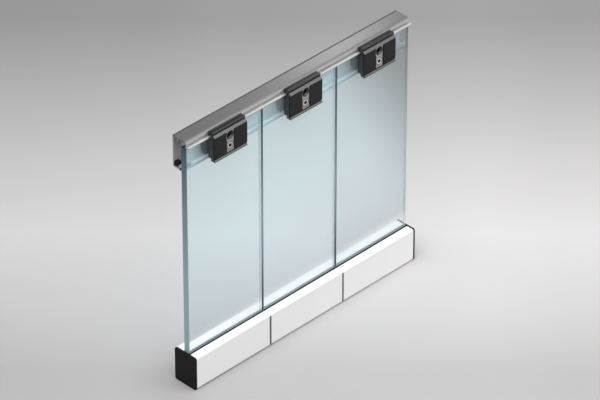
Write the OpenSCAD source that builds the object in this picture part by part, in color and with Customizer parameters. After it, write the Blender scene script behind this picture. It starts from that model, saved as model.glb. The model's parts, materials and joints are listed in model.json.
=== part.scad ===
// Top-hung glass partition, short display section: an open aluminium head track,
// three frameless leaves of toughened glass, each on a black hanger clamp, and
// white bottom rails with end caps. Millimetres, +Z up, X along the wall,
// -Y is the room side, origin at the middle of the footprint on the floor.

/* [Leaves] */
// Distance from one leaf centre to the next
leaf_pitch = 168; // [140:1:1200]
// Width of one glass panel
glass_width = 165; // [137:1:1197]
// Thickness of the glass
glass_thickness = 12; // [8:1:15]
// Height of the glass foot above the floor
glass_foot = 46; // [40:0.5:60]
// Height of the bolt hole above the floor
bolt_height = 441; // [300:1:3200]

/* [Head track] */
// Length of the head track
track_length = 502; // [300:1:6000]
// Height of the top face of the track above the floor
track_top = 480; // [320:1:3300]
// Depth of the track behind the wall centre plane
track_back = 24; // [18:0.5:30]
// Wall thickness of the track flanges
track_wall = 3; // [2:0.1:4]
// Length of the plug in the left end of the lower channel
plug_length = 9; // [4:0.5:40]
// Outer radius of the rounded nose
nose_radius = 6; // [4:0.1:8]

/* [Hanger clamp] */
// Length of a hanger clamp along the wall
clamp_length = 71; // [50:1:120]
// Thickness of the rubber pads on the glass
pad_thickness = 1; // [0.5:0.1:2]
// Width of the metal strip between the two cover plates
strip_width = 17.2; // [12:0.1:24]
// Thickness of a cover plate
cover_thickness = 3; // [2:0.1:4]
// Running clearance of the hook glide around the track lip
glide_clearance = 0.4; // [0.2:0.05:0.8]

/* [Bottom rail] */
// Depth of the bottom rail
rail_depth = 48; // [40:0.5:70]
// Height of the top of the bottom rail above the floor
rail_top = 64; // [50:0.5:120]
// Height of the underside of the bottom rail above the floor
rail_foot = 3; // [2:0.5:12]
// Wall thickness of the bottom rail
rail_wall = 2.5; // [1.5:0.1:4]
// Gap between neighbouring bottom rails
rail_gap = 0.6; // [0.4:0.1:4]
// Thickness of the end caps
cap_thickness = 3.5; // [2:0.1:6]

/* [Hidden] */
$fn = 48;
eps = 0.01;
gt2 = glass_thickness / 2;
glass_top = track_top - 14;
half_run = 1.5 * leaf_pitch - 1;
lip_front = -12.6;
lip_back = -10.6;
lip_top = track_top - 8;
lip_floor = track_top - 12;
nose_front = -7;
jaw_rear = -(gt2 + pad_thickness);
face = -19;
cover_front = face - cover_thickness;
adj_height = bolt_height + 20;
rail_front = -rail_depth / 2;
pocket_front = gt2 + 3;
pocket_rear = gt2 + 1;
web = 2.5;
track_foot = track_top - 60;
hook_top = lip_top + glide_clearance + 0.9;
hook_foot = track_top - 9.6;
plate_front = face - 1.5;
notch_w = 1.6;
notch_top = rail_top - 3;

// a (Y, Z) section run along the wall from x0 to x1
module along(x0, x1) { translate([x0, 0, 0]) rotate([90, 0, 90]) linear_extrude(x1 - x0) children(); }
// a box given by its two corners
module slab(a, b) { translate(a) cube(b - a); }
// a (Y, Z) rectangle given by its two corners
module patch(a, b) { translate(a) square(b - a); }
// a round bar through the wall from y0 to y1 at (x, z)
module bar(x, z, r, y0, y1, f = 48) { translate([x, y1, z]) rotate([90, 0, 0]) cylinder(r = r, h = y1 - y0, $fn = f); }

function leaf_x(i) = i * leaf_pitch;
function rail_x0(i) = i < 0 ? -half_run : leaf_x(i) - leaf_pitch / 2 + rail_gap / 2;
function rail_x1(i) = i > 0 ? half_run : leaf_x(i) + leaf_pitch / 2 - rail_gap / 2;

// ---------------------------------------------------------------- head track
module track_section() {
  difference() {
    union() {
      patch([track_back - 2.5, track_foot], [track_back, track_top]);
      patch([nose_front + nose_radius, track_top - track_wall], [track_back, track_top]);
    }
    // rebate for the seal along the back edge
    patch([track_back - 3.4, track_top - 1.8], [track_back + 1, track_top + 1]);
  }
  // rounded nose
  intersection() {
    translate([nose_front + nose_radius, track_top - nose_radius]) difference() {
      circle(r = nose_radius);
      circle(r = nose_radius - track_wall);
    }
    patch([nose_front - 1, track_top - nose_radius], [nose_front + nose_radius, track_top + 1]);
  }
  // front wall, trough and hanging lip
  patch([nose_front, lip_floor], [nose_front + track_wall, track_top - nose_radius]);
  polygon([[nose_front + track_wall, lip_floor], [nose_front + track_wall, lip_floor + 1.6], [lip_back, lip_floor + 1.6], [lip_back, lip_top],
    [lip_front + 1.85, lip_top], [lip_front + 1.7, lip_top - 0.2], [lip_front, lip_top - 1.9],
    [lip_front, lip_floor + 1], [lip_front + 0.13, lip_floor + 0.5], [lip_front + 0.5, lip_floor + 0.13], [lip_front + 1, lip_floor]]);
  // stiffening rib under the flange
  patch([12, track_top - 8], [14, track_top - track_wall + eps]);
  // lower flange with its upturned edge
  patch([9, track_foot], [track_back, track_foot + 3]);
  patch([9, track_foot], [11.5, track_foot + 6.25]);
  translate([10.25, track_foot + 6.25]) circle(r = 1.25);
}
module top_track() {
  color("silver") difference() {
    along(-track_length / 2, track_length / 2) track_section();
    for (s = [-1, 1]) bar(s * leaf_pitch / 2, track_top - 35, 2.75, track_back - 4, track_back + 1);
  }
}
module track_seal() {
  color("#8d9496") along(-track_length / 2, track_length / 2) difference() {
    translate([8.1, track_foot + 0.6]) circle(r = 1.7);
    patch([9, track_foot - 4], [12, track_foot + 5]);
  }
}
module track_edge_seal() {
  color("#505254") along(-track_length / 2, track_length / 2)
    patch([track_back - 3.4, track_top - 1.8], [track_back, track_top]);
}

// a plug in the left end of the lower channel
module channel_plug() {
  color("#1c1c1c") along(-track_length / 2, -track_length / 2 + plug_length) difference() {
    patch([11.5, track_foot + 3], [track_back - 2.5, track_foot + 10.5]);
    patch([11.4, track_foot + 8.4], [13.2, track_foot + 11]);
  }
}

// --------------------------------------------------------------------- glass
module glass_panel(i) {
  color("lightblue", 0.5) difference() {
    slab([leaf_x(i) - glass_width / 2, -gt2, glass_foot], [leaf_x(i) + glass_width / 2, gt2, glass_top]);
    bar(leaf_x(i), bolt_height, 7, -gt2 - 1, gt2 + 1);
  }
}

// -------------------------------------------------------------- hanger clamp
module jaw_section() {
  t = track_top;
  b = bolt_height;
  difference() {
    union() {
      polygon([[jaw_rear, b - 12], [jaw_rear, b + 24], [-13.4, b + 24], [-13.4, hook_top], [-9.2, hook_top], [-9.2, hook_foot],
        [-7.6, hook_foot], [-7.6, t - 1.7], [-17.6, t - 1.7], [-17.6, t - 5.6], [-18.5, t - 5.9],
        [-22, t - 9.2], [-22, t - 9.6], [face, t - 9.6], [face, b - 12], [-13.2, b - 12]]);
      // two beads along the top
      intersection() {
        translate([-9.5, t - 1.9]) circle(r = 1.9);
        patch([-12, t - 1.8], [-7, t + 1]);
      }
      translate([-15.5, t - 2.9]) circle(r = 2.9);
      // lower lip
      polygon([[-14.7, b - 11.5], [face, b - 11.5], [face, b - 12.1], [-21.5, b - 12.2], [-22.9, b - 13.6], [-22.9, b - 15.6],
        [-21.9, b - 16.6], [-14.7, b - 16.6]]);
      patch([-14.8, b - 15.1], [-13.2, b - 12]);
      translate([-14.7, b - 15.1]) circle(r = 1.5);
    }
    // room for the glide
    patch([-13.9, b + 24], [-9.3, hook_top]);
  }
}
module front_jaw(i) {
  color("#26282a") difference() {
    along(leaf_x(i) - clamp_length / 2, leaf_x(i) + clamp_length / 2) jaw_section();
    bar(leaf_x(i), adj_height, 8, face - 1, face + 3.6);
    bar(leaf_x(i), bolt_height, 4.2, face - 1, jaw_rear + 1);
  }
}
module hook_glide(i) {
  c = glide_clearance;
  color("#3a3c3e") along(leaf_x(i) - clamp_length / 2 + 1, leaf_x(i) + clamp_length / 2 - 1)
    polygon([[-13.9, track_top - 14], [-13.9, hook_top], [-9.3, hook_top], [-9.3, hook_foot],
      [lip_back + c, hook_foot], [lip_back + c, lip_top + c], [lip_front - c, lip_top + c], [lip_front - c, track_top - 14]]);
}
module rear_jaw(i) {
  color("#26282a") difference() {
    along(leaf_x(i) - clamp_length / 2, leaf_x(i) + clamp_length / 2)
      polygon([[-jaw_rear, bolt_height - 12], [-jaw_rear, bolt_height + 24], [-jaw_rear + 8.5, bolt_height + 24],
        [-jaw_rear + 9.5, bolt_height + 23], [-jaw_rear + 9.5, bolt_height - 3.5], [-jaw_rear + 1, bolt_height - 12]]);
    bar(leaf_x(i), bolt_height, 4.05, -jaw_rear - 1, -jaw_rear + 11);
  }
}
module clamp_pads(i) {
  color("#1c1c1c") for (s = [0, 1]) mirror([0, s, 0]) difference() {
    slab([leaf_x(i) - clamp_length / 2 + 1, jaw_rear, bolt_height - 11], [leaf_x(i) + clamp_length / 2 - 1, -gt2, bolt_height + 23]);
    bar(leaf_x(i), bolt_height, 4.4, jaw_rear - 1, -gt2 + 1);
  }
}
module cover(x0, x1) {
  z0 = bolt_height - 11;
  z1 = bolt_height + 29;
  color("#2c2d2f") along(x0, x1)
    polygon([[face, z0], [face, z1], [cover_front + 0.7, z1], [cover_front, z1 - 0.7], [cover_front, z0 + 0.7], [cover_front + 0.7, z0]]);
}
module left_cover(i) {
  color("#2c2d2f") difference() {
    cover(leaf_x(i) - clamp_length / 2 - 0.8, leaf_x(i) - strip_width / 2);
    // finger notch beside the adjuster
    bar(leaf_x(i) - 2.2, adj_height - 0.4, 8.8, cover_front - 1, face + 1);
  }
}
module right_cover(i) { cover(leaf_x(i) + strip_width / 2, leaf_x(i) + clamp_length / 2 + 0.8); }
module strap_plate(i) {
  w = strip_width / 2 - 0.2;
  color("#b9bbbd") difference() {
    slab([leaf_x(i) - w, plate_front, bolt_height - 10.7], [leaf_x(i) + w, face, bolt_height + 28.6]);
    bar(leaf_x(i), adj_height, 8, face - 4, face + 1);
    // counterbore and hole for the bolt
    bar(leaf_x(i), bolt_height, 6.9, face - 4, face - 0.6);
    bar(leaf_x(i), bolt_height, 4.2, face - 4, face + 1);
  }
}
module clamp_bolt(i) {
  color("#c9cbcd") difference() {
    union() {
      bar(leaf_x(i), bolt_height, 5.9, face - 1.2, face - 0.6);
      bar(leaf_x(i), bolt_height, 4, face - 0.7, -jaw_rear + 9);
    }
    bar(leaf_x(i), bolt_height, 3.46, face - 5, face + 3, 6);
  }
}
module height_adjuster(i) {
  color("#3f4143") difference() {
    bar(leaf_x(i), adj_height, 7.8, plate_front + 0.1, face + 3.6);
    // dished mouth and hexagon socket
    translate([leaf_x(i), face + 2.4, adj_height]) rotate([90, 0, 0]) cylinder(r1 = 4.6, r2 = 7.45, h = face + 2.4 - plate_front);
    bar(leaf_x(i), adj_height, 3.6, face - 3, face + 3.2, 6);
  }
}
module glass_bush(i) {
  color("#4a4a4a") difference() {
    bar(leaf_x(i), bolt_height, 6.9, -gt2, gt2);
    bar(leaf_x(i), bolt_height, 4.2, -gt2 - 1, gt2 + 1);
  }
}

// --------------------------------------------------------------- bottom rail
module rounded(y, z0, z1, rt, rb) {
  patch([-y + rt, z1 - rt], [y - rt, z1]);
  patch([-y, z0 + rb], [y, z1 - rt]);
  patch([-y + rb, z0], [y - rb, z0 + rb]);
  for (s = [-1, 1]) {
    translate([s * (y - rt), z1 - rt]) circle(r = rt);
    translate([s * (y - rb), z0 + rb]) circle(r = rb);
  }
}
module rail_section() {
  y = rail_depth / 2;
  difference() {
    rounded(y, rail_foot, rail_top, 3, 1.5);
    // glazing pocket
    patch([-pocket_front, glass_foot - 2], [pocket_rear, rail_top + 1]);
    // front, rear and middle chambers
    patch([-y + rail_wall, rail_foot + rail_wall], [-pocket_front - web, rail_top - rail_wall]);
    patch([pocket_rear + web, rail_foot + rail_wall], [y - rail_wall, rail_top - rail_wall]);
    patch([-pocket_front, rail_foot + rail_wall], [pocket_rear, glass_foot - 4.5]);
    // slots that hold the floor seals
    for (s = [0, 1]) mirror([s, 0]) patch([15.5, rail_foot - 1], [19.5, rail_foot + rail_wall + 1]);
  }
}
module bottom_rail(i) {
  x0 = rail_x0(i);
  x1 = rail_x1(i);
  color("white") difference() {
    along(x0, x1) rail_section();
    for (s = [0, 1]) mirror([0, s, 0]) {
      if (i > -1) slab([x0 - 1, rail_front - 1, rail_foot - 1], [x0 + notch_w, rail_front + rail_wall, notch_top]);
      if (i < 1) slab([x1 - notch_w, rail_front - 1, rail_foot - 1], [x1 + 1, rail_front + rail_wall, notch_top]);
    }
  }
}
module front_gasket(i) {
  // fills the gap between rail and glass, with a low crowned head
  color("#161616") along(leaf_x(i) - glass_width / 2, leaf_x(i) + glass_width / 2)
    polygon([[-pocket_front, glass_foot], [-pocket_front, rail_top + 0.1], [-pocket_front + 0.5, rail_top + 0.4], [-gt2 - 0.5, rail_top + 0.4],
      [-gt2, rail_top + 0.1], [-gt2, glass_foot]]);
}
module rear_gasket(i) {
  color("#8d9496") along(leaf_x(i) - glass_width / 2, leaf_x(i) + glass_width / 2)
    patch([gt2, glass_foot], [pocket_rear, rail_top - 1.4]);
}
module setting_blocks(i) {
  color("#2a2a2a") for (s = [-1, 1])
    slab([leaf_x(i) + s * 50 - 15, -gt2, glass_foot - 2], [leaf_x(i) + s * 50 + 15, gt2, glass_foot]);
}
module floor_seals(i) {
  color("#1a1a1a") for (s = [0, 1]) mirror([0, s, 0]) along(rail_x0(i) + 0.4, rail_x1(i) - 0.4) {
    patch([14, rail_foot + rail_wall], [21, rail_foot + rail_wall + 1.8]);
    patch([15.6, rail_foot - 0.2], [19.4, rail_foot + rail_wall + 1]);
    patch([16, 0], [19, rail_foot + 0.5]);
  }
}
module end_cap(s) {
  y = rail_depth / 2;
  color("#1d1d1e") mirror([s < 0 ? 1 : 0, 0, 0]) {
    along(half_run, half_run + cap_thickness) rounded(y, 0.5, rail_top, 3.5, 3.5);
    slab([half_run - 8, -y + rail_wall + 0.3, rail_foot + 8], [half_run + 0.5, -pocket_front - web - 0.3, rail_top - rail_wall - 0.3]);
    slab([half_run - 8, pocket_rear + web + 0.3, rail_foot + 8], [half_run + 0.5, y - rail_wall - 0.3, rail_top - rail_wall - 0.3]);
  }
}

// -------------------------------------------------- seals between the leaves
module glass_seal(s) {
  x = glass_width / 2;
  color("#8d9496") mirror([s < 0 ? 1 : 0, 0, 0])
    slab([x, -gt2 + 0.2, rail_top + 1.5], [x + 2.6, -gt2 + 3.6, glass_top]);
}
module rail_buffer(s) {
  x = leaf_pitch / 2 - rail_gap / 2 - notch_w;
  color("#141414") mirror([s < 0 ? 1 : 0, 0, 0]) for (k = [0, 1]) mirror([0, k, 0])
    slab([x, rail_front + 0.2, rail_foot + 0.2], [x + 2 * notch_w + rail_gap - 0.4, rail_front + rail_wall, notch_top - 0.2]);
}

top_track();
track_seal();
track_edge_seal();
channel_plug();
glass_panel(-1);  // glass_panel_left
glass_panel(0);  // glass_panel_middle
glass_panel(1);  // glass_panel_right
front_jaw(-1);  // front_jaw_left
front_jaw(0);  // front_jaw_middle
front_jaw(1);  // front_jaw_right
hook_glide(-1);  // hook_glide_left
hook_glide(0);  // hook_glide_middle
hook_glide(1);  // hook_glide_right
rear_jaw(-1);  // rear_jaw_left
rear_jaw(0);  // rear_jaw_middle
rear_jaw(1);  // rear_jaw_right
clamp_pads(-1);  // clamp_pads_left
clamp_pads(0);  // clamp_pads_middle
clamp_pads(1);  // clamp_pads_right
left_cover(-1);  // left_cover_left
left_cover(0);  // left_cover_middle
left_cover(1);  // left_cover_right
right_cover(-1);  // right_cover_left
right_cover(0);  // right_cover_middle
right_cover(1);  // right_cover_right
strap_plate(-1);  // strap_plate_left
strap_plate(0);  // strap_plate_middle
strap_plate(1);  // strap_plate_right
clamp_bolt(-1);  // clamp_bolt_left
clamp_bolt(0);  // clamp_bolt_middle
clamp_bolt(1);  // clamp_bolt_right
height_adjuster(-1);  // height_adjuster_left
height_adjuster(0);  // height_adjuster_middle
height_adjuster(1);  // height_adjuster_right
glass_bush(-1);  // glass_bush_left
glass_bush(0);  // glass_bush_middle
glass_bush(1);  // glass_bush_right
bottom_rail(-1);  // bottom_rail_left
bottom_rail(0);  // bottom_rail_middle
bottom_rail(1);  // bottom_rail_right
front_gasket(-1);  // front_gasket_left
front_gasket(0);  // front_gasket_middle
front_gasket(1);  // front_gasket_right
rear_gasket(-1);  // rear_gasket_left
rear_gasket(0);  // rear_gasket_middle
rear_gasket(1);  // rear_gasket_right
setting_blocks(-1);  // setting_blocks_left
setting_blocks(0);  // setting_blocks_middle
setting_blocks(1);  // setting_blocks_right
floor_seals(-1);  // floor_seals_left
floor_seals(0);  // floor_seals_middle
floor_seals(1);  // floor_seals_right
end_cap(-1);  // end_cap_left
end_cap(1);  // end_cap_right
glass_seal(-1);  // glass_seal_left
glass_seal(1);  // glass_seal_right
rail_buffer(-1);  // rail_buffer_left
rail_buffer(1);  // rail_buffer_right
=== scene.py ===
import json
import math

import bmesh
import bpy
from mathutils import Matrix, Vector


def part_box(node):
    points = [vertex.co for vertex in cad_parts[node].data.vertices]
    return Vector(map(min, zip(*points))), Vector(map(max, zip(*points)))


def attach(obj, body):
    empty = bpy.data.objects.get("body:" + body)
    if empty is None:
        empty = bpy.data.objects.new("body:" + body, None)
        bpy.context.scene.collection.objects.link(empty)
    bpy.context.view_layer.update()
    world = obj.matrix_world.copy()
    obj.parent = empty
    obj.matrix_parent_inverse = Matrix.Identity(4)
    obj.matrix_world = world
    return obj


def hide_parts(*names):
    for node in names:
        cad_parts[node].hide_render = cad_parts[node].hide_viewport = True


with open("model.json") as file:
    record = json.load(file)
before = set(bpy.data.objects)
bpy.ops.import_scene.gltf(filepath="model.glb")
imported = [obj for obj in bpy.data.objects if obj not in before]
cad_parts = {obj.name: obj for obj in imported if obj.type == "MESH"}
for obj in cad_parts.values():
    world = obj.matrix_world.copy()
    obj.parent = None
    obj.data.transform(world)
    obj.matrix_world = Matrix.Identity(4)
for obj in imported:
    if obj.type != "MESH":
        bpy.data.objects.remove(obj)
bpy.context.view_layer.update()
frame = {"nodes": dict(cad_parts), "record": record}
nodes = frame["nodes"]
scene = bpy.context.scene
scene.view_settings.view_transform = "Standard"
scene.view_settings.look = "None"

LEAVES = ("left", "middle", "right")
MM = 0.001

# ------------------------------------------------------------------ camera
az, el, dist = math.radians(44.924), math.radians(35.577), 8.1155
target = Vector((0.0075, 0.0, 0.23565))
back = Vector((-math.sin(az) * math.cos(el), -math.cos(az) * math.cos(el), math.sin(el)))
cam_data = bpy.data.cameras.new("camera")
cam_data.sensor_width = 36.0
cam_data.lens = 300.0
cam_data.clip_start, cam_data.clip_end = 0.1, 100.0
cam = bpy.data.objects.new("camera", cam_data)
scene.collection.objects.link(cam)
cam.location = target + back * dist
cam.rotation_mode = "QUATERNION"
cam.rotation_quaternion = (-back).to_track_quat("-Z", "Y")
scene.camera = cam


# --------------------------------------------------------------- materials
def new_material(name, **sockets):
    m = bpy.data.materials.new(name)
    m.use_nodes = True
    nt = m.node_tree
    b = nt.nodes["Principled BSDF"]
    for k, v in sockets.items():
        s = b.inputs[k.replace("_", " ")]
        s.default_value = (*v, 1.0) if isinstance(v, tuple) and len(v) == 3 else v
    return m, nt, b


def noise(nt, scale, stretch=(1, 1, 1), detail=3.0, rough=0.55):
    tc = nt.nodes.new("ShaderNodeTexCoord")
    mp = nt.nodes.new("ShaderNodeMapping")
    mp.inputs["Scale"].default_value = stretch
    n = nt.nodes.new("ShaderNodeTexNoise")
    n.inputs["Scale"].default_value = scale
    n.inputs["Detail"].default_value = detail
    n.inputs["Roughness"].default_value = rough
    nt.links.new(tc.outputs["Object"], mp.inputs["Vector"])
    nt.links.new(mp.outputs["Vector"], n.inputs["Vector"])
    return n.outputs["Fac"]


def ramp(nt, fac, stops):
    r = nt.nodes.new("ShaderNodeValToRGB")
    e = r.color_ramp.elements
    while len(e) < len(stops):
        e.new(0.5)
    for el_, (p, c) in zip(e, stops):
        el_.position = p
        el_.color = (c, c, c, 1) if isinstance(c, (int, float)) else (*c, 1)
    nt.links.new(fac, r.inputs["Fac"])
    return r.outputs["Color"]


def bump(nt, b, height, strength, distance):
    n = nt.nodes.new("ShaderNodeBump")
    n.inputs["Strength"].default_value = strength
    n.inputs["Distance"].default_value = distance
    nt.links.new(height, n.inputs["Height"])
    nt.links.new(n.outputs["Normal"], b.inputs["Normal"])


def textured(name, colour, roughness, grain, stretch=(1, 1, 1), spread=0.06, rough_spread=0.08, strength=0.15, depth=0.0001, detail=3.0, blotch=14.0, **sockets):
    """A material with a fine grain (colour, roughness and bump) over a broad, faint variation."""
    m, nt, b = new_material(name, **sockets)
    fine = noise(nt, grain, stretch, detail)
    broad = noise(nt, blotch, (1, 1, 1), 2.0)
    mix = nt.nodes.new("ShaderNodeMix")
    mix.data_type = "FLOAT"
    mix.inputs[0].default_value = 0.45
    nt.links.new(fine, mix.inputs[2])
    nt.links.new(broad, mix.inputs[3])
    lo = tuple(c * (1 - spread) for c in colour)
    hi = tuple(min(1.0, c * (1 + spread)) for c in colour)
    nt.links.new(ramp(nt, mix.outputs[0], [(0.32, lo), (0.68, hi)]), b.inputs["Base Color"])
    nt.links.new(ramp(nt, mix.outputs[0], [(0.3, max(0.0, roughness - rough_spread)), (0.7, roughness + rough_spread)]), b.inputs["Roughness"])
    bump(nt, b, fine, strength, depth)
    return m


M = {
    # extruded along X: die lines run the length of the profile
    "satin_aluminium": textured("satin_aluminium", (0.250, 0.249, 0.248), 0.55, 60.0, (0.05, 40, 40), 0.03, 0.03, 0.03, 0.00002, Metallic=1.0),
    "black_anodised": textured("black_anodised", (0.095, 0.094, 0.096), 0.36, 60.0, (0.06, 36, 36), 0.08, 0.04, 0.03, 0.00003, Metallic=0.85, Specular_IOR_Level=0.4),
    "black_inner": textured("black_inner", (0.011, 0.0115, 0.012), 0.5, 60.0, (0.06, 36, 36), 0.10, 0.05, 0.03, 0.00003, Specular_IOR_Level=0.25),
    "black_cover": textured("black_cover", (0.0048, 0.0048, 0.0049), 0.58, 2600.0, (1, 1, 1), 0.18, 0.07, 0.22, 0.00008, Specular_IOR_Level=0.3),
    "brushed_strip": textured("brushed_strip", (0.42, 0.42, 0.415), 0.38, 80.0, (30, 30, 0.6), 0.08, 0.07, 0.16, 0.00006, Metallic=1.0),
    "bolt_steel": textured("bolt_steel", (0.66, 0.66, 0.655), 0.30, 900.0, (1, 1, 1), 0.06, 0.07, 0.10, 0.00004, Metallic=1.0),
    "dark_steel": textured("dark_steel", (0.075, 0.075, 0.078), 0.42, 1200.0, (1, 1, 1), 0.15, 0.08, 0.15, 0.00005, Metallic=0.8),
    "glide_polymer": textured("glide_polymer", (0.055, 0.056, 0.058), 0.45, 1500.0, (1, 1, 1), 0.08, 0.06, 0.10, 0.00005),
    "black_rubber": textured("black_rubber", (0.006, 0.006, 0.0062), 0.68, 1800.0, (0.2, 1, 1), 0.20, 0.08, 0.25, 0.00008, Specular_IOR_Level=0.2),
    "white_powder_coat": textured("white_powder_coat", (0.86, 0.86, 0.86), 0.30, 900.0, (1, 1, 1), 0.010, 0.04, 0.06, 0.00006, Coat_Weight=0.25, Coat_Roughness=0.12),
    "black_cap": textured("black_cap", (0.0030, 0.0030, 0.0031), 0.52, 2200.0, (1, 1, 1), 0.15, 0.06, 0.18, 0.00006, Specular_IOR_Level=0.18),
    "grey_seal": textured("grey_seal", (0.080, 0.078, 0.078), 0.7, 1800.0, (0.2, 1, 1), 0.15, 0.08, 0.2, 0.00008, Specular_IOR_Level=0.3),
    "brush_fibre": textured("brush_fibre", (0.020, 0.020, 0.020), 0.88, 300.0, (20, 20, 0.8), 0.35, 0.08, 0.6, 0.0004),
}


def by_height(nt, stops):
    """A colour that changes with height above the floor; stops are (metres, colour)."""
    tc = nt.nodes.new("ShaderNodeTexCoord")
    sp = nt.nodes.new("ShaderNodeSeparateXYZ")
    mr = nt.nodes.new("ShaderNodeMapRange")
    mr.inputs["From Min"].default_value = 0.0
    mr.inputs["From Max"].default_value = 0.5
    nt.links.new(tc.outputs["Object"], sp.inputs["Vector"])
    nt.links.new(sp.outputs["Z"], mr.inputs["Value"])
    return ramp(nt, mr.outputs["Result"], [(z / 0.5, c) for z, c in stops])


def glass_material(name, tint, roughness, clear, heights=None):
    """Toughened glass. Shadow rays pass straight through, so a pane keeps the floor behind it light."""
    m, nt, b = new_material(name, Base_Color=tint, Roughness=roughness, IOR=1.5, Transmission_Weight=clear)
    if heights:
        nt.links.new(by_height(nt, heights), b.inputs["Base Color"])
    out = nt.nodes["Material Output"]
    lp = nt.nodes.new("ShaderNodeLightPath")
    tr = nt.nodes.new("ShaderNodeBsdfTransparent")
    tr.inputs["Color"].default_value = (0.90, 0.95, 0.97, 1)
    mx = nt.nodes.new("ShaderNodeMixShader")
    nt.links.new(lp.outputs["Is Shadow Ray"], mx.inputs[0])
    nt.links.new(b.outputs["BSDF"], mx.inputs[1])
    nt.links.new(tr.outputs["BSDF"], mx.inputs[2])
    nt.links.new(mx.outputs["Shader"], out.inputs["Surface"])
    return m


# the front face carries a faint blue veil, lightest just above the rail; the blue is the glass's own tint, and its
# changes with height are painted reflection and painted shade, stronger on the right-hand pane; the rear face is plain
GLASS_TINT_AND_PAINTED_LIGHT = [(0.080, (0.95, 0.98, 0.99)), (0.10, (0.68, 0.77, 0.82)), (0.16, (0.72, 0.85, 0.91)), (0.27, (0.75, 0.96, 1.0)), (0.466, (0.75, 0.965, 1.0))]
GLASS_TINT_AND_PAINTED_LIGHT_RIGHT = [(0.080, (0.90, 0.93, 0.94)), (0.10, (0.57, 0.65, 0.69)), (0.16, (0.66, 0.78, 0.835)), (0.27, (0.735, 0.93, 0.99)), (0.466, (0.74, 0.945, 1.0))]
M["clear_glass"] = glass_material("clear_glass", (0.80, 0.945, 1.0), 0.0, 0.76, GLASS_TINT_AND_PAINTED_LIGHT)
M["clear_glass_right"] = glass_material("clear_glass_right", (0.80, 0.945, 1.0), 0.0, 0.76, GLASS_TINT_AND_PAINTED_LIGHT_RIGHT)
M["glass_back"] = glass_material("glass_back", (0.97, 0.99, 1.0), 0.0, 1.0)
# polished edges at a joint: painted reflection, lightest at mid height, and painted shade, darkest at the head
M["glass_joint"] = glass_material("glass_joint", (0.45, 0.55, 0.60), 0.10, 0.60,
                                  [(0.06, (0.45, 0.55, 0.59)), (0.12, (0.58, 0.68, 0.72)), (0.25, (0.70, 0.81, 0.85)), (0.36, (0.50, 0.61, 0.66)), (0.466, (0.10, 0.155, 0.18))])
# ground edges: a teal colour, with painted shade that darkens them towards the head, where less light gets in
M["glass_edge"] = glass_material("glass_edge", (0.30, 0.42, 0.46), 0.25, 0.15,
                                 [(0.06, (0.34, 0.47, 0.52)), (0.20, (0.33, 0.46, 0.51)), (0.34, (0.19, 0.29, 0.32)), (0.41, (0.095, 0.18, 0.205)), (0.466, (0.022, 0.074, 0.090))])
# pale ground edge: painted shade darkens it towards the head
M["glass_edge_pale"] = glass_material("glass_edge_pale", (0.60, 0.72, 0.72), 0.20, 0.45,
                                      [(0.06, (0.66, 0.78, 0.78)), (0.30, (0.58, 0.70, 0.71)), (0.40, (0.36, 0.46, 0.47)), (0.466, (0.12, 0.17, 0.18))])
# clear seal in the joints: its colour changes with height, pale at the foot and near black just above the rail, then
# painted shade and painted reflection in bands up to the head
M["clear_seal"], seal_nt, seal_b = new_material("clear_seal", Roughness=0.45, Specular_IOR_Level=0.4)
seal_nt.links.new(by_height(seal_nt, [(0.0570, (0.88, 0.94, 0.96)), (0.0600, (0.60, 0.70, 0.74)), (0.0625, (0.26, 0.33, 0.36)), (0.0645, (0.006, 0.012, 0.016)), (0.11, (0.05, 0.075, 0.09)), (0.17, (0.19, 0.24, 0.27)), (0.25, (0.27, 0.33, 0.36)), (0.36, (0.12, 0.16, 0.185)), (0.466, (0.04, 0.065, 0.085))]), seal_b.inputs["Base Color"])
bump(seal_nt, seal_b, noise(seal_nt, 900.0, (1, 1, 0.1), 2.0), 0.12, 0.00005)
M["track_strip"] = textured("track_strip", (0.42, 0.47, 0.50), 0.5, 900.0, (0.1, 1, 1), 0.05, 0.06, 0.12, 0.00005, Specular_IOR_Level=0.4)


def paint_recess_shade(mat, y_mm, dark):
    """Paints shade into a material behind the plane y, so that sockets and recesses read as deep."""
    nt = mat.node_tree
    b = nt.nodes["Principled BSDF"]
    src = b.inputs["Base Color"].links[0].from_socket
    tc = nt.nodes.new("ShaderNodeTexCoord")
    sp = nt.nodes.new("ShaderNodeSeparateXYZ")
    mr = nt.nodes.new("ShaderNodeMapRange")
    mr.inputs["From Min"].default_value = (y_mm - 0.15) * MM
    mr.inputs["From Max"].default_value = (y_mm + 0.15) * MM
    mx = nt.nodes.new("ShaderNodeMix")
    mx.data_type = "RGBA"
    nt.links.new(tc.outputs["Object"], sp.inputs["Vector"])
    nt.links.new(sp.outputs["Y"], mr.inputs["Value"])
    nt.links.new(mr.outputs["Result"], mx.inputs[0])
    nt.links.new(src, mx.inputs[6])
    mx.inputs[7].default_value = (*dark, 1)
    nt.links.new(mx.outputs[2], b.inputs["Base Color"])


# painted shade in the bolt's socket, the adjuster's cup and the strap plate's recess
paint_recess_shade(M["bolt_steel"], -19.7, (0.01, 0.01, 0.01))
paint_recess_shade(M["dark_steel"], -17.4, (0.006, 0.006, 0.006))
paint_recess_shade(M["brushed_strip"], -20.2, (0.03, 0.03, 0.03))

def blend_colour(mat, mask, other):
    """Mixes a material's colour towards another by a mask made from the place on the object."""
    nt = mat.node_tree
    b = nt.nodes["Principled BSDF"]
    src = b.inputs["Base Color"].links[0].from_socket
    mx = nt.nodes.new("ShaderNodeMix")
    mx.data_type = "RGBA"
    nt.links.new(mask(nt), mx.inputs[0])
    nt.links.new(src, mx.inputs[6])
    mx.inputs[7].default_value = (*other, 1)
    nt.links.new(mx.outputs[2], b.inputs["Base Color"])


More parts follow.
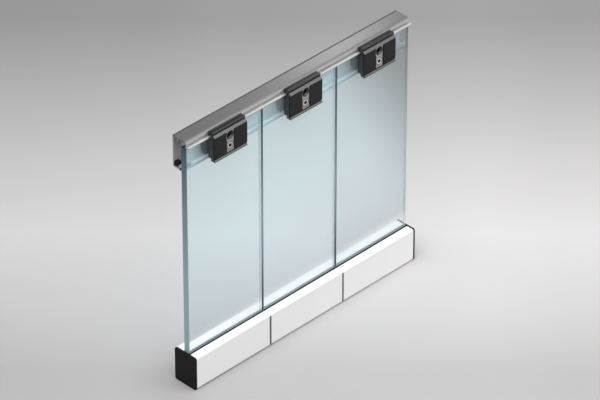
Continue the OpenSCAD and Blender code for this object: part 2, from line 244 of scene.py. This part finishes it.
def by_mask(mat, socket, mask, outside, inside):
    """Sets a number by a mask: outside where the mask is 0, inside where it is 1."""
    nt = mat.node_tree
    mr = nt.nodes.new("ShaderNodeMapRange")
    mr.inputs["To Min"].default_value = outside
    mr.inputs["To Max"].default_value = inside
    nt.links.new(mask(nt), mr.inputs["Value"])
    nt.links.new(mr.outputs["Result"], nt.nodes["Principled BSDF"].inputs[socket])


def along_axis(nt, axis, full, none):
    """1 at full, 0 at none, both in millimetres along an axis."""
    tc = nt.nodes.new("ShaderNodeTexCoord")
    sp = nt.nodes.new("ShaderNodeSeparateXYZ")
    mr = nt.nodes.new("ShaderNodeMapRange")
    mr.inputs["From Min"].default_value = none * MM
    mr.inputs["From Max"].default_value = full * MM
    nt.links.new(tc.outputs["Object"], sp.inputs["Vector"])
    nt.links.new(sp.outputs[axis], mr.inputs["Value"])
    return mr.outputs["Result"]


def track_inside(nt):
    """The channel of the track, below the top flange, behind the glass and in front of the outer back face."""
    m = nt.nodes.new("ShaderNodeMath")
    m.operation = "MULTIPLY"
    nt.links.new(along_axis(nt, "Z", 474, 477), m.inputs[0])
    nt.links.new(along_axis(nt, "Y", 9, 7), m.inputs[1])
    n = nt.nodes.new("ShaderNodeMath")
    n.operation = "MULTIPLY"
    nt.links.new(m.outputs["Value"], n.inputs[0])
    nt.links.new(along_axis(nt, "Y", 22.0, 23.2), n.inputs[1])
    return n.outputs["Value"]


def painted_end_shade_mask(nt):
    """The part of the channel at its open left-hand end."""
    m = nt.nodes.new("ShaderNodeMath")
    m.operation = "MULTIPLY"
    nt.links.new(track_inside(nt), m.inputs[0])
    nt.links.new(along_axis(nt, "X", -236, -227), m.inputs[1])
    return m.outputs["Value"]


def painted_reflection_mask(nt):
    """Mask for the painted reflection on the right-hand pane: grows from 0 on a slanted line across the pane to 1 at
    its top corner.
    """
    tc = nt.nodes.new("ShaderNodeTexCoord")
    sp = nt.nodes.new("ShaderNodeSeparateXYZ")
    m = nt.nodes.new("ShaderNodeMath")
    m.operation = "MULTIPLY_ADD"
    m.inputs[1].default_value = 2.0
    mr = nt.nodes.new("ShaderNodeMapRange")
    mr.interpolation_type = "SMOOTHSTEP"
    mr.inputs["From Min"].default_value = 0.52
    mr.inputs["From Max"].default_value = 0.92
    nt.links.new(tc.outputs["Object"], sp.inputs["Vector"])
    nt.links.new(sp.outputs["X"], m.inputs[0])
    nt.links.new(sp.outputs["Z"], m.inputs[2])
    nt.links.new(m.outputs["Value"], mr.inputs["Value"])
    return mr.outputs["Result"]


# painted reflection: the right-hand pane is painted greyer towards its top corner
blend_colour(M["clear_glass_right"], painted_reflection_mask, (0.28, 0.315, 0.33))

# the veil thins out towards the left-hand end
by_mask(M["clear_glass"], "Transmission Weight", lambda nt: along_axis(nt, "X", -185, -110), 0.76, 0.88)

# the rounded tops of the jaws are darker than their flats
blend_colour(M["black_anodised"], lambda nt: along_axis(nt, "Z", 475.0, 474.0), (0.050, 0.050, 0.051))

# the strip on the lower flange has a dark end
blend_colour(M["track_strip"], lambda nt: along_axis(nt, "X", -248.5, -247.5), (0.008, 0.008, 0.0085))

# painted light in the channel: its inside is painted pale and bluish, as if lit through the glass, and made barely
# metallic
blend_colour(M["satin_aluminium"], track_inside, (0.86, 0.92, 0.95))
# painted shade: the channel is painted darker at its open left-hand end
blend_colour(M["satin_aluminium"], painted_end_shade_mask, (0.30, 0.275, 0.265))
by_mask(M["satin_aluminium"], "Metallic", track_inside, 1.0, 0.05)
# painted highlight: the front wall of the nose is painted paler
blend_colour(M["satin_aluminium"], lambda nt: along_axis(nt, "Y", -6.9, -5.4), (0.62, 0.62, 0.62))
# painted highlight: the hanging lip is painted paler than the flange
blend_colour(M["satin_aluminium"], lambda nt: along_axis(nt, "Y", -10.4, -9.4), (0.46, 0.46, 0.46))
# painted light: the flat back, which faces away from the lamps, is painted paler
blend_colour(M["satin_aluminium"], lambda nt: along_axis(nt, "Y", 23.7, 23.0), (0.52, 0.52, 0.52))

# ------------------------------------------------------- carried-over nodes
slot_of = {s["node"]: s["material_slot"] for s in frame["record"]["subparts"]}
BEVEL = {"satin_aluminium": 0.35, "black_anodised": 0.45, "black_cover": 0.45, "brushed_strip": 0.2, "bolt_steel": 0.3, "dark_steel": 0.25, "white_powder_coat": 0.35, "black_cap": 0.2}
for name, obj in nodes.items():
    s = slot_of[name]
    obj.data.materials.clear()
    obj.data.materials.append(M["black_inner" if name.startswith("rear_jaw") else "track_strip" if name == "track_seal" else s])
    if s in BEVEL and not name.startswith("left_cover"):  # the notched covers keep their own chamfers
        w = obj.modifiers.new("weld", "WELD")
        w.merge_threshold = 0.00001
        bv = obj.modifiers.new("bevel", "BEVEL")
        bv.width = BEVEL[s] * MM
        bv.segments = 2
        bv.limit_method = "ANGLE"
        bv.angle_limit = math.radians(40)
        bv.harden_normals = False
        wn = obj.modifiers.new("weighted_normal", "WEIGHTED_NORMAL")
        wn.mode = "FACE_AREA"
        wn.weight = 50
        wn.keep_sharp = True


# -------------------------------------------------------------- glass panes
def pane(name, node, hole_z, joints, pale, front, hole_r=7.0 * MM, arris=0.7 * MM):
    """A toughened pane with ground arrises and a drilled, chamfered hole; slot 0 the front face, 1 the ground edges, 2 the polished edges at a joint, 3 the rear face, 4 a pale edge."""
    lo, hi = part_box(node)
    cx = (lo.x + hi.x) / 2
    bm = bmesh.new()

    def loop(y, inset):
        pts = [(lo.x + inset, lo.z + inset), (hi.x - inset, lo.z + inset), (hi.x - inset, hi.z - inset), (lo.x + inset, hi.z - inset)]
        return [bm.verts.new((x, y, z)) for x, z in pts]

    def ring(y, r, n=40):
        return [bm.verts.new((cx + r * math.cos(2 * math.pi * i / n), y, hole_z + r * math.sin(2 * math.pi * i / n))) for i in range(n)]

    a = 0.5 * MM
    outer = [loop(lo.y, arris), loop(lo.y + arris, 0), loop(hi.y - arris, 0), loop(hi.y, arris)]
    inner = [ring(lo.y, hole_r + a), ring(lo.y + a, hole_r), ring(hi.y - a, hole_r), ring(hi.y, hole_r + a)]
    for rows in (outer, inner):
        for p, q in zip(rows, rows[1:]):
            n = len(p)
            for i in range(n):
                f = bm.faces.new((p[i], p[(i + 1) % n], q[(i + 1) % n], q[i]))
                f.material_index = 1 if rows is inner else 2 if i in joints else 4 if i in pale else 1
    for o, r, slot in ((outer[0], inner[0], 0), (outer[3], inner[3], 3)):
        edges = []
        for ring_ in (o, r):
            for i in range(len(ring_)):
                e = bm.edges.get((ring_[i], ring_[(i + 1) % len(ring_)]))
                edges.append(e)
        filled = bmesh.ops.triangle_fill(bm, use_beauty=True, use_dissolve=False, edges=edges)
        for g in filled["geom"]:
            if isinstance(g, bmesh.types.BMFace):
                g.material_index = slot
    bmesh.ops.recalc_face_normals(bm, faces=bm.faces)
    me = bpy.data.meshes.new(name)
    bm.to_mesh(me)
    bm.free()
    for key in (front, "glass_edge", "glass_joint", "glass_back", "glass_edge_pale"):
        me.materials.append(M[key])
    o = bpy.data.objects.new(name, me)
    scene.collection.objects.link(o)
    return o


JOINTS = {"left": (1,), "middle": (1,), "right": ()}  # 1 is the right-hand edge of a pane, 3 the left-hand one
PALE = {"left": (), "middle": (), "right": (1,)}
for leaf in LEAVES:
    p = pane("pane_" + leaf, "glass_panel_" + leaf, 0.441, JOINTS[leaf], PALE[leaf], "clear_glass_right" if leaf == "right" else "clear_glass")
    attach(p, leaf + "_leaf")
    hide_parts("glass_panel_" + leaf)

# ------------------------------------------------------------------- stage
bpy.ops.mesh.primitive_plane_add(size=14, location=(0, 0, 0))
floor = bpy.context.object
floor.name = "floor"
fm, fnt, fb = new_material("floor", Roughness=0.9, Specular_IOR_Level=0.1)
tc = fnt.nodes.new("ShaderNodeTexCoord")
sp = fnt.nodes.new("ShaderNodeSeparateXYZ")
fnt.links.new(tc.outputs["Object"], sp.inputs["Vector"])
# painted light: the floor's colour is a pool of light around the object that falls off towards the back and, more
# gently, towards the front and the left
depth = fnt.nodes.new("ShaderNodeMath")
depth.operation = "ADD"
fnt.links.new(sp.outputs["X"], depth.inputs[0])
fnt.links.new(sp.outputs["Y"], depth.inputs[1])
span = fnt.nodes.new("ShaderNodeMapRange")
span.inputs["From Min"].default_value = -0.42
span.inputs["From Max"].default_value = 1.26
fnt.links.new(depth.outputs["Value"], span.inputs["Value"])
painted_light_tones = [(0.0, 0.465), (0.13, 0.472), (0.27, 0.58), (0.45, 0.680), (0.62, 0.600), (0.76, 0.508), (0.90, 0.420), (1.0, 0.358)]
side = fnt.nodes.new("ShaderNodeMath")
side.operation = "SUBTRACT"
fnt.links.new(sp.outputs["X"], side.inputs[0])
fnt.links.new(sp.outputs["Y"], side.inputs[1])
across = fnt.nodes.new("ShaderNodeMapRange")
across.inputs["From Min"].default_value = -0.65
across.inputs["From Max"].default_value = 0.65
fnt.links.new(side.outputs["Value"], across.inputs["Value"])
both = fnt.nodes.new("ShaderNodeMix")
both.data_type = "RGBA"
both.blend_type = "MULTIPLY"
both.inputs[0].default_value = 1.0
fnt.links.new(ramp(fnt, span.outputs["Result"], [(f, (v * 1.06, v * 1.04, v * 1.035)) for f, v in painted_light_tones]), both.inputs[6])
fnt.links.new(ramp(fnt, across.outputs["Result"], [(0.0, 0.89), (0.25, 0.912), (0.34, 0.955), (0.50, 0.975), (0.72, 1.0), (0.85, 1.02), (1.0, 0.97)]), both.inputs[7])
fnt.links.new(both.outputs[2], fb.inputs["Base Color"])
floor.data.materials.append(fm)

world = bpy.data.worlds.new("world")
scene.world = world
world.use_nodes = True
bg = world.node_tree.nodes["Background"]
bg.inputs["Color"].default_value = (0.98, 0.985, 1.0, 1)
bg.inputs["Strength"].default_value = 0.48


def area(name, loc, aim, size, energy, colour=(1, 1, 1)):
    d = bpy.data.lights.new(name, "AREA")
    d.shape = "RECTANGLE"
    d.size, d.size_y = size
    d.energy = energy
    d.color = colour
    o = bpy.data.objects.new(name, d)
    scene.collection.objects.link(o)
    o.location = loc
    o.rotation_mode = "QUATERNION"
    o.rotation_quaternion = (Vector(aim) - Vector(loc)).to_track_quat("-Z", "Y")
    o.visible_camera = False
    return o


area("key_top", (-0.9, -0.5, 2.8), (0, 0, 0.2), (2.6, 2.6), 52)
area("right_key", (1.15, -1.55, 2.0), (0.15, 0, 0.2), (1.5, 1.5), 21)
area("back_right", (0.295, 0.22, 0.695), (0.082, 0.01, 0.48), (0.12, 0.12), 0.34)
area("front_fill", (-0.4, -3.0, 1.5), (-0.05, 0, 0.2), (2.8, 1.8), 12.5)
area("back_fill", (-0.4, 3.0, 1.6), (0, 0, 0.2), (2.8, 1.8), 5)
area("left_fill", (-2.8, -0.4, 1.2), (0, 0, 0.2), (1.6, 1.6), 6)
